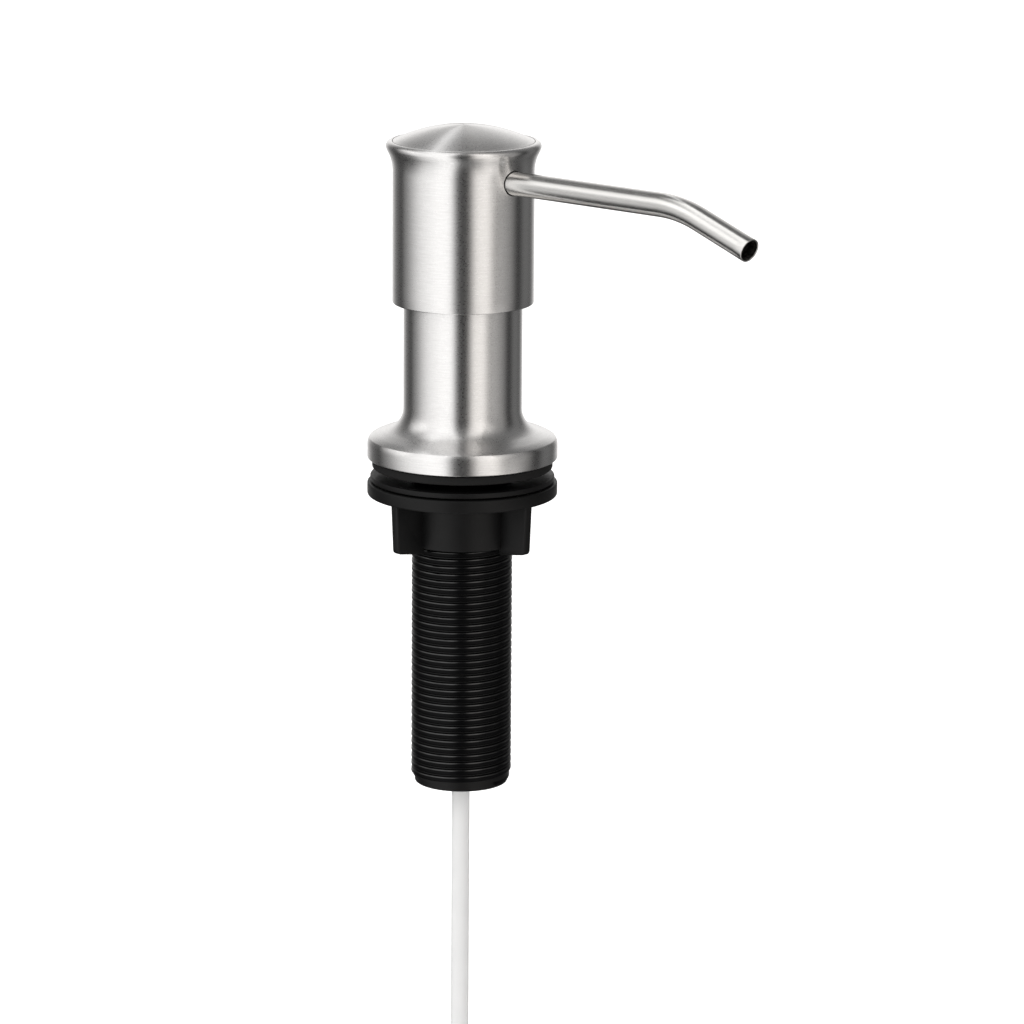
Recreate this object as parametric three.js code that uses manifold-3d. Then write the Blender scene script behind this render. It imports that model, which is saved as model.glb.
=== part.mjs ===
// Deck-mounted soap pump dispenser: a press-down head with a bent spout on a flanged collar,
// a threaded shank with a washer and a wing nut below the sink deck, a spring-return piston
// pump inside, and a long suction tube that ends in a foot valve.
// Millimetres, +Z up. z = 0 is the top of the sink deck, the shank runs down the Z axis and
// the spout points along +X. Everything is drawn with the head up and the nut run up.
import * as THREE from "three";
import { mergeVertices } from "three/addons/utils/BufferGeometryUtils.js";
import Module from "manifold-3d";

const wasm = await Module();
wasm.setup();

// ---- Driving dimensions ----

const GAP = 0.3; // clearance between neighbouring pieces
const FACETS = 40; // round a large turned piece
const FINE_FACETS = 24; // round a small turned piece
const ARC_STEPS = 3; // along a rounded edge
const DOME_STEPS = 6; // from the edge of the dome to its apex
const DEGREE = Math.PI / 180;
const SAME_POINT = 1e-4; // corners of a mesh closer than this are one corner

const COLLAR = {
  bottom: 2.7,
  flangeRadius: 25.4,
  lowerChamfer: 0.3,
  edgeHeight: 6.35, // centre of the rounded upper edge
  edgeRadius: 2.65,
  slope: 18.3 * DEGREE,
  filletRadius: 6.35,
  neckRadius: 15.8,
  neckTop: 53.5,
  neckChamfer: 0.6,
  boreRadius: 14.3,
};

const GASKET = { bottom: 0, top: 2.4, outerRadius: 24.1, innerRadius: 13.9 };

const SHANK = {
  threadRadius: 13.5,
  threadBottom: -85.0,
  endRadius: 12.55,
  bottom: -86.9,
  shoulderRadius: 14.0,
  shoulderBottom: 3.0,
  top: 45.5,
  boreRadius: 11.2,
};

// A gap of 2 mm is left above the washer for the thinnest deck sheet.
const WASHER = { top: -2.05, bottom: -3.55, outerRadius: 24.6, innerRadius: 13.85 };

const NUT = {
  top: -3.85,
  flangeBottom: -7.35,
  flangeRadius: 25.4,
  edge: 0.5,
  barrelRadius: 16.0,
  bottom: -20.0,
  boreRadius: 13.85,
  fins: 4,
  finThickness: 2.4,
  finRootBottom: -21.5,
  finTipBottom: -20.3,
  finTopReach: 25.3,
  finBottomReach: 24.6,
  finCorner: 1.0,
};

const SHELL = {
  skirtBottom: 44.6,
  skirtRadius: 18.77,
  wall: 0.85,
  flareStart: 79.9,
  flareEnd: 85.3,
  flareRadius: 10.6,
  rimHeight: 86.4,
  rimCentre: 19.2,
  rimRadius: 1.35,
  rimStart: -27 * DEGREE, // the rolled rim is an arc from its outer underside to its top
  rimEnd: 100 * DEGREE,
  seatHeight: 84.9,
  seatRadius: 18.95,
};

const CAP = {
  radius: 18.65,
  apex: 92.0,
  domeRadius: 42.8,
  edge: 0.2,
  underside: 85.3,
  wall: 1.2,
  plugRadius: 17.6,
};

const SPOUT = {
  outerRadius: 3.15,
  innerRadius: 2.7,
  rootX: 2.8,
  rootZ: 78.3,
  rise: 1.0 * DEGREE,
  bendStartX: 71.5,
  bendRadius: 40.0,
  bendAngle: 19.5 * DEGREE,
  tipLength: 18.2,
  sides: 12,
  steps: 18,
  holeClearance: 0.4,
};

const INSERT = {
  bottom: 69.5,
  hubRadius: 8.5,
  discBottom: 83.0,
  discTop: 85.0,
  discRadius: 18.1,
  socketRadius: 3.8,
  socketTop: 75.1,
  channelRadius: 1.5,
  sealPocketRadius: 4.9,
  sealPocketDepth: 2.6,
};

const SEAL = { ringRadius: 4.05, wireRadius: 0.5, x: 7.25, sides: 8 };

const CLOSURE = {
  plugBottom: 48.8,
  plugRadius: 13.95,
  flangeBottom: 53.8,
  flangeTop: 55.2,
  flangeRadius: 15.4,
  boreRadius: 3.8,
};

const CLOSURE_GASKET = { bottom: 45.8, top: 46.9, innerRadius: 11.5, outerRadius: 13.6 };

const HOUSING = {
  flangeRadius: 13.6,
  flangeTop: 48.5,
  flangeBottom: 47.2,
  outerRadius: 8.0,
  boreRadius: 6.6,
  barrelBottom: 1.0,
  boreBottom: 3.5,
  seatRadius: 1.7,
  seatBottom: -1.2,
  socketTop: -2.4,
  socketRadius: 2.75,
  nippleRadius: 4.0,
  nippleTop: -3.0,
  bottom: -11.0,
};

const STEM = {
  outerRadius: 3.5,
  boreRadius: 1.7,
  bottom: 31.9,
  top: 74.8,
  stopRadius: 5.9,
  stopBottom: 46.0,
  stopTop: 48.4,
  ballSeatBottom: 69.0,
  ballPocketRadius: 2.7,
};

const PISTON = { bottom: 31.8, top: 38.0, innerRadius: 3.8, outerRadius: 5.3, step: 0.8 };
const PISTON_SEAL = { bottom: 33.0, top: 36.4, innerRadius: 5.6, outerRadius: 6.3, lip: 0.9 };

const SPRING = { bottom: 7.3, top: 31.5, coilRadius: 4.5, wireRadius: 0.45, turns: 8, sides: 6 };
const SPRING_STEPS_PER_TURN = 10;

const BALL_CAGE = { bottom: 5.2, top: 7.0, outerRadius: 6.3, innerRadius: 2.0 };
const INLET_BALL_RADIUS = 2.6;
const OUTLET_BALL_RADIUS = 2.2;
const BALL_FACETS = 16; // round a ball
const BALL_BANDS = 10; // from pole to pole

const TUBE = { radius: 2.4, sides: 10, steps: 16 };

// Route of the tube from the pump to the hank: [sideways, height]. It leans so that the hank
// hangs with its middle under the pump.
const TUBE_ROUTE = [
  [0, -2.7],
  [0, -14],
  [-0.4, -35],
  [-2.1, -60],
  [-4.9, -87],
  [-7.9, -115],
  [-10.1, -142],
];

// The spare tube is wound into a hank with straight runs, below the object and in line with it.
const HANK = {
  turn: 45 * DEGREE, // of the whole hank about Z
  foldRadius: 14.4, // three tube diameters
  straight: 67.0,
  top: -168.0,
  turns: 4,
  pitch: 4.95,
  leadOffset: 1.9, // from the tube that comes down to the first turn
  foldSteps: 8, // round each quarter of a fold
};
const HANK_OUTER = HANK.foldRadius + TUBE.radius;
const HANK_UPPER = HANK.top - HANK_OUTER; // centre of the upper folds
const HANK_LOWER = HANK_UPPER - HANK.straight; // centre of the lower folds
const HANK_DEPTH = HANK.leadOffset + HANK.turns * HANK.pitch; // from the lead to the last turn
const HANK_SIDE = HANK_DEPTH / 2; // plane of the last turn, and of the lead on the other side

const TIE = { height: 6.0, thickness: 0.9, innerCorner: 0.3 };

const FOOT = {
  top: -276.0,
  bossRadius: 4.4,
  bossHeight: 1.6,
  radius: 10.0,
  chamfer: 0.7,
  capHeight: 4.6,
  bodyBottom: -290.2,
  socketRadius: 2.7,
  socketDepth: 4.2,
  channelRadius: 1.7,
  chamberRadius: 3.0,
  chamberDepth: 5.3,
  seatDepth: 1.6,
  recessRadius: 8.6,
  recessDepth: 1.8,
  ballRadius: 2.2,
};

const STRAINER = {
  radius: 8.3,
  thickness: 1.0,
  holeRadius: 0.8,
  holeSides: 6,
  rings: [0, 2.9, 5.9],
  perRing: 7,
};

// ---- Finishes ----

const STEEL = { color: 0xb9b6b0, roughness: 0.28, metalness: 1.0 };
const BLACK_PLASTIC = { color: 0x1b1b1b, roughness: 0.5, metalness: 0.0 };
const BLACK_RUBBER = { color: 0x121212, roughness: 0.85, metalness: 0.0 };
const WHITE_PLASTIC = { color: 0xe6e4dc, roughness: 0.45, metalness: 0.0 };
const CLEAR_TUBE = { color: 0xe8e8e6, roughness: 0.3, metalness: 0.0 };
const SPRING_STEEL = { color: 0xa9a9a9, roughness: 0.35, metalness: 1.0 };
const BALL_STEEL = { color: 0xc8c8c8, roughness: 0.15, metalness: 1.0 };

// ---- Shape helpers ----

const point = (radius, height) => new THREE.Vector2(radius, height);

// Points of an arc in a profile, from one angle to another, ends included.
function arc(radius, height, size, from, to, steps = ARC_STEPS) {
  return Array.from({ length: steps + 1 }, (_, i) => {
    const angle = from + ((to - from) * i) / steps;
    return point(radius + size * Math.cos(angle), height + size * Math.sin(angle));
  });
}

// A turned piece about Z. The profile is [radius, height] points, outside first and upwards.
function turned(profile, facets = FACETS) {
  const closesOnAxis = profile[0].x === 0 && profile.at(-1).x === 0;
  const outline = closesOnAxis ? profile : [...profile, profile[0].clone()];
  const geometry = new THREE.LatheGeometry(outline, facets);
  geometry.rotateX(Math.PI / 2);
  return geometry;
}

// A plain ring of rectangular section about Z.
function ring(inner, outer, bottom, top, facets = FACETS) {
  const section = [point(inner, bottom), point(outer, bottom), point(outer, top), point(inner, top)];
  return turned(section, facets);
}

// A solid cylinder along Z.
function rod(radius, bottom, top, facets = FINE_FACETS) {
  const geometry = new THREE.CylinderGeometry(radius, radius, top - bottom, facets);
  geometry.rotateX(Math.PI / 2);
  geometry.translate(0, 0, (top + bottom) / 2);
  return geometry;
}

// A solid cylinder along the axis of the spout, from one x to another.
function rodAlongSpout(radius, fromX, toX) {
  const geometry = new THREE.CylinderGeometry(radius, radius, toX - fromX, FINE_FACETS);
  geometry.rotateZ(Math.PI / 2);
  geometry.translate((toX + fromX) / 2, 0, 0);
  geometry.rotateY(-SPOUT.rise);
  geometry.translate(0, 0, SPOUT.rootZ - SPOUT.rootX * Math.tan(SPOUT.rise));
  return geometry;
}

function toSolid(geometry) {
  const bare = geometry.clone();
  bare.deleteAttribute("normal");
  bare.deleteAttribute("uv");
  const merged = mergeVertices(bare, SAME_POINT);
  const mesh = new wasm.Mesh({
    numProp: 3,
    vertProperties: new Float32Array(merged.attributes.position.array),
    triVerts: new Uint32Array(merged.index.array),
  });
  return new wasm.Manifold(mesh);
}

function toGeometry(solid) {
  const mesh = solid.getMesh();
  const geometry = new THREE.BufferGeometry();
  geometry.setAttribute("position", new THREE.BufferAttribute(mesh.vertProperties, 3));
  geometry.setIndex(new THREE.BufferAttribute(mesh.triVerts, 1));
  geometry.computeVertexNormals();
  return geometry;
}

function cut(geometry, ...tools) {
  return toGeometry(tools.reduce((solid, tool) => solid.subtract(toSolid(tool)), toSolid(geometry)));
}

function join(geometry, ...others) {
  return toGeometry(others.reduce((solid, other) => solid.add(toSolid(other)), toSolid(geometry)));
}

function circle(radius, sides, x = 0, y = 0) {
  return Array.from({ length: sides }, (_, i) => {
    const angle = (2 * Math.PI * i) / sides;
    return point(x + radius * Math.cos(angle), y + radius * Math.sin(angle));
  });
}

// A round section, with a round hole when an inner radius is given.
function roundSection(radius, sides, innerRadius = 0) {
  const section = new THREE.Shape(circle(radius, sides));
  if (innerRadius > 0) section.holes.push(new THREE.Path(circle(innerRadius, sides)));
  return section;
}

function swept(section, path, steps) {
  return new THREE.ExtrudeGeometry(section, { extrudePath: path, steps, curveSegments: 1 });
}

function piece(name, geometry, finish) {
  const mesh = new THREE.Mesh(geometry, new THREE.MeshStandardMaterial(finish));
  mesh.name = name;
  return mesh;
}

// ---- Collar, shank and what clamps them to the deck ----

function deckCollar() {
  const { flangeRadius, edgeRadius, edgeHeight, slope, filletRadius, neckRadius } = COLLAR;
  const edgeEnd = Math.PI / 2 - slope;
  const edge = arc(flangeRadius - edgeRadius, edgeHeight, edgeRadius, 0, edgeEnd);
  const filletCentre = neckRadius + filletRadius;
  const filletEnd = Math.PI + edgeEnd;
  const tangentRadius = filletCentre + filletRadius * Math.cos(filletEnd);
  const tangentHeight = edge.at(-1).y + (edge.at(-1).x - tangentRadius) * Math.tan(slope);
  const filletHeight = tangentHeight - filletRadius * Math.sin(filletEnd);
  return turned([
    point(COLLAR.boreRadius, COLLAR.bottom),
    point(flangeRadius - COLLAR.lowerChamfer, COLLAR.bottom),
    point(flangeRadius, COLLAR.bottom + COLLAR.lowerChamfer),
    ...edge,
    ...arc(filletCentre, filletHeight, filletRadius, filletEnd, Math.PI),
    point(neckRadius, COLLAR.neckTop - COLLAR.neckChamfer),
    point(neckRadius - COLLAR.neckChamfer, COLLAR.neckTop),
    point(COLLAR.boreRadius, COLLAR.neckTop),
  ]);
}

function deckGasket() {
  return ring(GASKET.innerRadius, GASKET.outerRadius, GASKET.bottom, GASKET.top);
}

// The thread stands as its outer cylinder.
function threadedShank() {
  return turned([
    point(SHANK.boreRadius, SHANK.bottom),
    point(SHANK.endRadius, SHANK.bottom),
    point(SHANK.endRadius, SHANK.threadBottom),
    point(SHANK.threadRadius, SHANK.threadBottom),
    point(SHANK.threadRadius, SHANK.shoulderBottom),
    point(SHANK.shoulderRadius, SHANK.shoulderBottom),
    point(SHANK.shoulderRadius, SHANK.top),
    point(SHANK.boreRadius, SHANK.top),
  ]);
}

function clampWasher() {
  return ring(WASHER.innerRadius, WASHER.outerRadius, WASHER.bottom, WASHER.top);
}

// One fin stands in the XZ plane, its outer corner rounded.
function nutFin() {
  const inside = (NUT.boreRadius + NUT.barrelRadius) / 2;
  const corner = NUT.finCorner;
  const outline = new THREE.Shape([
    point(inside, NUT.flangeBottom + NUT.edge),
    point(inside, NUT.finRootBottom),
    point(NUT.barrelRadius, NUT.finRootBottom),
    ...arc(NUT.finBottomReach - corner, NUT.finTipBottom + corner, corner, -Math.PI / 2, 0),
    point(NUT.finTopReach, NUT.flangeBottom + NUT.edge),
  ]);
  const options = { depth: NUT.finThickness, bevelEnabled: false };
  const fin = new THREE.ExtrudeGeometry(outline, options);
  fin.translate(0, 0, -NUT.finThickness / 2);
  fin.rotateX(Math.PI / 2);
  return fin;
}

function wingNut() {
  const body = turned([
    point(NUT.boreRadius, NUT.bottom),
    point(NUT.barrelRadius, NUT.bottom),
    point(NUT.barrelRadius, NUT.flangeBottom),
    point(NUT.flangeRadius - NUT.edge, NUT.flangeBottom),
    point(NUT.flangeRadius, NUT.flangeBottom + NUT.edge),
    point(NUT.flangeRadius, NUT.top - NUT.edge),
    point(NUT.flangeRadius - NUT.edge, NUT.top),
    point(NUT.boreRadius, NUT.top),
  ]);
  const fins = Array.from({ length: NUT.fins }, (_, i) =>
    nutFin().rotateZ((2 * Math.PI * i) / NUT.fins),
  );
  return join(body, ...fins);
}

// ---- Head ----

// Outer radius of the flared top of the head at a height above the start of the flare.
function flareRadiusAt(rise) {
  return SHELL.skirtRadius + SHELL.flareRadius - Math.sqrt(SHELL.flareRadius ** 2 - rise ** 2);
}

function flare(inset, from, to) {
  return Array.from({ length: ARC_STEPS + 1 }, (_, i) => {
    const rise = from + ((to - from) * i) / ARC_STEPS;
    return point(flareRadiusAt(rise) - inset, SHELL.flareStart + rise);
  });
}

function headShell() {
  const flareRise = SHELL.flareEnd - SHELL.flareStart;
  const innerRise = SHELL.seatHeight - SHELL.flareStart - SHELL.wall;
  const innerRadius = SHELL.skirtRadius - SHELL.wall;
  const innerFlare = flare(SHELL.wall, 0, innerRise);
  const shell = turned([
    point(innerRadius, SHELL.skirtBottom),
    point(SHELL.skirtRadius, SHELL.skirtBottom),
    ...flare(0, 0, flareRise),
    ...arc(SHELL.rimCentre, SHELL.rimHeight, SHELL.rimRadius, SHELL.rimStart, SHELL.rimEnd),
    point(SHELL.seatRadius, SHELL.seatHeight),
    point(innerFlare.at(-1).x, SHELL.seatHeight),
    ...innerFlare.reverse(),
  ]);
  const reach = SHELL.skirtRadius + SPOUT.outerRadius;
  const hole = rodAlongSpout(SPOUT.outerRadius + SPOUT.holeClearance, reach / 2, reach);
  return cut(shell, hole);
}

function dome(radius, apex, from, to) {
  const centre = apex - radius;
  const start = Math.acos(from / radius);
  const end = Math.acos(to / radius);
  return arc(0, centre, radius, start, end, DOME_STEPS);
}

function domeCap() {
  const outer = dome(CAP.domeRadius, CAP.apex, CAP.radius - CAP.edge, 0);
  const inner = dome(CAP.domeRadius - CAP.wall, CAP.apex - CAP.wall, CAP.plugRadius - CAP.wall, 0);
  outer.at(-1).x = 0;
  inner.at(-1).x = 0;
  return turned([
    ...inner.reverse(),
    point(CAP.plugRadius - CAP.wall, CAP.underside),
    point(CAP.radius, CAP.underside),
    point(CAP.radius, outer[0].y - CAP.edge),
    ...outer,
  ]);
}

function spoutPath() {
  const rise = new THREE.Vector3(Math.cos(SPOUT.rise), 0, Math.sin(SPOUT.rise));
  const fall = SPOUT.bendAngle - SPOUT.rise;
  const down = new THREE.Vector3(Math.cos(fall), 0, -Math.sin(fall));
  const tangent = SPOUT.bendRadius * Math.tan(SPOUT.bendAngle / 2);
  const root = new THREE.Vector3(SPOUT.rootX, 0, SPOUT.rootZ);
  const run = (SPOUT.bendStartX - SPOUT.rootX) / rise.x;
  const bendStart = root.clone().addScaledVector(rise, run);
  const corner = bendStart.clone().addScaledVector(rise, tangent);
  const bendEnd = corner.clone().addScaledVector(down, tangent);
  const tip = bendEnd.clone().addScaledVector(down, SPOUT.tipLength);
  const path = new THREE.CurvePath();
  path.add(new THREE.LineCurve3(root, bendStart));
  path.add(new THREE.QuadraticBezierCurve3(bendStart, corner, bendEnd));
  path.add(new THREE.LineCurve3(bendEnd, tip));
  return path;
}

function spoutTube() {
  const section = roundSection(SPOUT.outerRadius, SPOUT.sides, SPOUT.innerRadius);
  return swept(section, spoutPath(), SPOUT.steps);
}

// The hub takes the top of the stem from below and the root of the spout from the side.
function headInsert() {
  const body = turned(
    [
      point(0, INSERT.bottom),
      point(INSERT.hubRadius, INSERT.bottom),
      point(INSERT.hubRadius, INSERT.discBottom),
      point(INSERT.discRadius, INSERT.discBottom),
      point(INSERT.discRadius, INSERT.discTop),
      point(0, INSERT.discTop),
    ],
    FINE_FACETS,
  );
  const clear = SPOUT.outerRadius + GAP;
  return cut(
    body,
    rod(INSERT.socketRadius, INSERT.bottom - GAP, INSERT.socketTop),
    rod(INSERT.channelRadius, INSERT.socketTop - GAP, SPOUT.rootZ),
    rodAlongSpout(INSERT.channelRadius, 0, SPOUT.rootX),
    rodAlongSpout(clear, SPOUT.rootX - GAP, 2 * INSERT.hubRadius),
    rodAlongSpout(
      INSERT.sealPocketRadius,
      INSERT.hubRadius - INSERT.sealPocketDepth,
      2 * INSERT.hubRadius,
    ),
  );
}

function spoutSeal() {
  const seal = new THREE.TorusGeometry(SEAL.ringRadius, SEAL.wireRadius, SEAL.sides, FINE_FACETS);
  seal.rotateY(Math.PI / 2 - SPOUT.rise);
  const height = SPOUT.rootZ + (SEAL.x - SPOUT.rootX) * Math.tan(SPOUT.rise);
  seal.translate(SEAL.x, 0, height);
  return seal;
}

// ---- Pump ----

function pumpClosure() {
  return turned([
    point(CLOSURE.boreRadius, CLOSURE.plugBottom),
    point(CLOSURE.plugRadius, CLOSURE.plugBottom),
    point(CLOSURE.plugRadius, CLOSURE.flangeBottom),
    point(CLOSURE.flangeRadius, CLOSURE.flangeBottom),
    point(CLOSURE.flangeRadius, CLOSURE.flangeTop),
    point(CLOSURE.boreRadius, CLOSURE.flangeTop),
  ]);
}

function closureGasket() {
  const { innerRadius, outerRadius, bottom, top } = CLOSURE_GASKET;
  return ring(innerRadius, outerRadius, bottom, top);
}

function pumpHousing() {
  return turned(
    [
      point(HOUSING.socketRadius, HOUSING.bottom),
      point(HOUSING.nippleRadius, HOUSING.bottom),
      point(HOUSING.nippleRadius, HOUSING.nippleTop),
      point(HOUSING.outerRadius, HOUSING.barrelBottom),
      point(HOUSING.outerRadius, HOUSING.flangeBottom),
      point(HOUSING.flangeRadius, HOUSING.flangeBottom),
      point(HOUSING.flangeRadius, HOUSING.flangeTop),
      point(HOUSING.boreRadius, HOUSING.flangeTop),
      point(HOUSING.boreRadius, HOUSING.boreBottom),
      point(HOUSING.seatRadius, HOUSING.seatBottom),
      point(HOUSING.seatRadius, HOUSING.socketTop),
      point(HOUSING.socketRadius, HOUSING.socketTop),
    ],
    FINE_FACETS,
  );
}

function stem() {
  const pocketRise = STEM.ballPocketRadius - STEM.boreRadius;
  return turned(
    [
      point(STEM.boreRadius, STEM.bottom),
      point(STEM.outerRadius, STEM.bottom),
      point(STEM.outerRadius, STEM.stopBottom),
      point(STEM.stopRadius, STEM.stopBottom),
      point(STEM.stopRadius, STEM.stopTop),
      point(STEM.outerRadius, STEM.stopTop),
      point(STEM.outerRadius, STEM.top),
      point(STEM.ballPocketRadius, STEM.top),
      point(STEM.ballPocketRadius, STEM.ballSeatBottom + pocketRise),
      point(STEM.boreRadius, STEM.ballSeatBottom),
    ],
    FINE_FACETS,
  );
}

function piston() {
  const neck = PISTON.outerRadius - PISTON.step;
  return turned(
    [
      point(PISTON.innerRadius, PISTON.bottom),
      point(PISTON.outerRadius, PISTON.bottom),
      point(PISTON.outerRadius, PISTON.top - PISTON.step),
      point(neck, PISTON.top),
      point(PISTON.innerRadius, PISTON.top),
    ],
    FINE_FACETS,
  );
}

// A lip seal: the upper and lower edges are thinner than the waist.
function pistonSeal() {
  const { innerRadius, outerRadius, bottom, top, lip } = PISTON_SEAL;
  const waist = (innerRadius + outerRadius) / 2;
  return turned(
    [
      point(innerRadius, bottom),
      point(outerRadius, bottom),
      point(waist, bottom + lip),
      point(waist, top - lip),
      point(outerRadius, top),
      point(innerRadius, top),
    ],
    FINE_FACETS,
  );
}

class SpringHelix extends THREE.Curve {
  getPoint(t, target = new THREE.Vector3()) {
    const angle = 2 * Math.PI * SPRING.turns * t;
    const low = SPRING.bottom + SPRING.wireRadius;
    const high = SPRING.top - SPRING.wireRadius;
    const x = SPRING.coilRadius * Math.cos(angle);
    const y = SPRING.coilRadius * Math.sin(angle);
    return target.set(x, y, low + (high - low) * t);
  }
}

function returnSpring() {
  const section = roundSection(SPRING.wireRadius, SPRING.sides);
  return swept(section, new SpringHelix(), SPRING.turns * SPRING_STEPS_PER_TURN);
}

function ballCage() {
  const { innerRadius, outerRadius, bottom, top } = BALL_CAGE;
  return ring(innerRadius, outerRadius, bottom, top, FINE_FACETS);
}

// A ball resting over a seat that widens upwards at 45 degrees.
function seatedBall(name, radius, seatRadius, seatHeight) {
  const ball = piece(name, new THREE.SphereGeometry(radius, BALL_FACETS, BALL_BANDS), BALL_STEEL);
  ball.position.z = seatHeight + (radius + GAP) * Math.SQRT2 - seatRadius;
  return ball;
}

// ---- Suction tube, its hank and the foot valve ----

function suctionTube() {
  const route = [...TUBE_ROUTE, [-HANK_SIDE, HANK.top + GAP]];
  const points = route.map(([sideways, height]) => new THREE.Vector3(0, sideways, height));
  const path = new THREE.CatmullRomCurve3(points, false, "centripetal");
  return swept(roundSection(TUBE.radius, TUBE.sides), path, TUBE.steps);
}

function tubeHank() {
  const outline = new THREE.Shape();
  outline.absarc(0, HANK_UPPER, HANK_OUTER, 0, Math.PI);
  outline.absarc(0, HANK_LOWER, HANK_OUTER, Math.PI, 2 * Math.PI);
  const depth = HANK_DEPTH + 2 * TUBE.radius;
  const options = { depth, bevelEnabled: false, curveSegments: HANK.foldSteps };
  const hank = new THREE.ExtrudeGeometry(outline, options);
  hank.rotateX(Math.PI / 2);
  hank.translate(0, depth / 2, 0);
  return hank;
}

// A rectangle round the origin, given by its half width and half depth.
function roundedRectangle(Kind, width, depth, corner) {
  const outline = new Kind();
  outline.absarc(width - corner, depth - corner, corner, 0, Math.PI / 2);
  outline.absarc(corner - width, depth - corner, corner, Math.PI / 2, Math.PI);
  outline.absarc(corner - width, corner - depth, corner, Math.PI, 1.5 * Math.PI);
  outline.absarc(width - corner, corner - depth, corner, 1.5 * Math.PI, 2 * Math.PI);
  return outline;
}

// A band round the waist of the hank.
function tubeTie() {
  const width = HANK_OUTER + GAP;
  const depth = HANK_SIDE + TUBE.radius + GAP;
  const outer = TIE.thickness + TIE.innerCorner;
  const band = roundedRectangle(THREE.Shape, width + TIE.thickness, depth + TIE.thickness, outer);
  band.holes.push(roundedRectangle(THREE.Path, width, depth, TIE.innerCorner));
  return new THREE.ExtrudeGeometry(band, {
    depth: TIE.height,
    bevelEnabled: false,
    curveSegments: ARC_STEPS,
  });
}

// The tail starts where its whole section is clear of the hank's rounded outline.
function tubeTail() {
  const nearest = HANK.foldRadius - TUBE.radius;
  const top = HANK_LOWER - Math.sqrt(HANK_OUTER ** 2 - nearest ** 2) - GAP;
  return rod(TUBE.radius, FOOT.top - FOOT.socketDepth + GAP, top, TUBE.sides);
}

const FOOT_CAP_BOTTOM = FOOT.top - FOOT.bossHeight - FOOT.capHeight;

function footValveCap() {
  const shoulder = FOOT.top - FOOT.bossHeight;
  const socketBottom = FOOT.top - FOOT.socketDepth;
  return turned(
    [
      point(FOOT.channelRadius, FOOT_CAP_BOTTOM),
      point(FOOT.radius, FOOT_CAP_BOTTOM),
      point(FOOT.radius, shoulder - FOOT.chamfer),
      point(FOOT.radius - FOOT.chamfer, shoulder),
      point(FOOT.bossRadius, shoulder),
      point(FOOT.bossRadius, FOOT.top),
      point(FOOT.socketRadius, FOOT.top),
      point(FOOT.socketRadius, socketBottom),
      point(FOOT.channelRadius, socketBottom),
    ],
    FINE_FACETS,
  );
}

const FOOT_BODY_TOP = FOOT_CAP_BOTTOM - GAP;
const FOOT_SEAT_TOP = FOOT_BODY_TOP - FOOT.chamberDepth;
const FOOT_SEAT_RADIUS = FOOT.chamberRadius - FOOT.seatDepth;

function footValveBody() {
  const recessTop = FOOT.bodyBottom + FOOT.recessDepth;
  return turned(
    [
      point(FOOT.recessRadius, FOOT.bodyBottom),
      point(FOOT.radius - FOOT.chamfer, FOOT.bodyBottom),
      point(FOOT.radius, FOOT.bodyBottom + FOOT.chamfer),
      point(FOOT.radius, FOOT_BODY_TOP),
      point(FOOT.chamberRadius, FOOT_BODY_TOP),
      point(FOOT.chamberRadius, FOOT_SEAT_TOP + FOOT.seatDepth),
      point(FOOT_SEAT_RADIUS, FOOT_SEAT_TOP),
      point(FOOT_SEAT_RADIUS, recessTop),
      point(FOOT.recessRadius, recessTop),
    ],
    FINE_FACETS,
  );
}

function footStrainer() {
  const disc = new THREE.Shape(circle(STRAINER.radius, FINE_FACETS));
  for (const distance of STRAINER.rings) {
    const count = distance === 0 ? 1 : STRAINER.perRing;
    for (let i = 0; i < count; i++) {
      const angle = (2 * Math.PI * i) / count;
      const x = distance * Math.cos(angle);
      const y = distance * Math.sin(angle);
      disc.holes.push(new THREE.Path(circle(STRAINER.holeRadius, STRAINER.holeSides, x, y)));
    }
  }
  return new THREE.ExtrudeGeometry(disc, { depth: STRAINER.thickness, bevelEnabled: false });
}

// ---- Assembly ----

const dispenser = new THREE.Group();

dispenser.add(
  piece("deck_collar", deckCollar(), STEEL),
  piece("deck_gasket", deckGasket(), BLACK_RUBBER),
  piece("threaded_shank", threadedShank(), BLACK_PLASTIC),
  piece("clamp_washer", clampWasher(), BLACK_PLASTIC),
  piece("wing_nut", wingNut(), BLACK_PLASTIC),
);

const head = new THREE.Group();
head.add(
  piece("head_shell", headShell(), STEEL),
  piece("dome_cap", domeCap(), STEEL),
  piece("spout_tube", spoutTube(), STEEL),
  piece("head_insert", headInsert(), BLACK_PLASTIC),
  piece("spout_seal", spoutSeal(), BLACK_RUBBER),
);
dispenser.add(head);

const pump = new THREE.Group();
pump.add(
  piece("pump_closure", pumpClosure(), BLACK_PLASTIC),
  piece("closure_gasket", closureGasket(), BLACK_RUBBER),
  piece("pump_housing", pumpHousing(), WHITE_PLASTIC),
  piece("pump_stem", stem(), WHITE_PLASTIC),
  piece("piston", piston(), WHITE_PLASTIC),
  piece("piston_seal", pistonSeal(), BLACK_RUBBER),
  piece("return_spring", returnSpring(), SPRING_STEEL),
  piece("ball_cage", ballCage(), WHITE_PLASTIC),
  seatedBall("inlet_ball", INLET_BALL_RADIUS, HOUSING.seatRadius, HOUSING.seatBottom),
  seatedBall("outlet_ball", OUTLET_BALL_RADIUS, STEM.boreRadius, STEM.ballSeatBottom),
);
dispenser.add(pump);

const hank = new THREE.Group();
hank.rotation.z = HANK.turn;
const tie = piece("tube_tie", tubeTie(), WHITE_PLASTIC);
tie.position.z = (HANK_UPPER + HANK_LOWER - TIE.height) / 2;
hank.add(
  piece("suction_tube", suctionTube(), CLEAR_TUBE),
  piece("tube_hank", tubeHank(), CLEAR_TUBE),
  tie,
);

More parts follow.
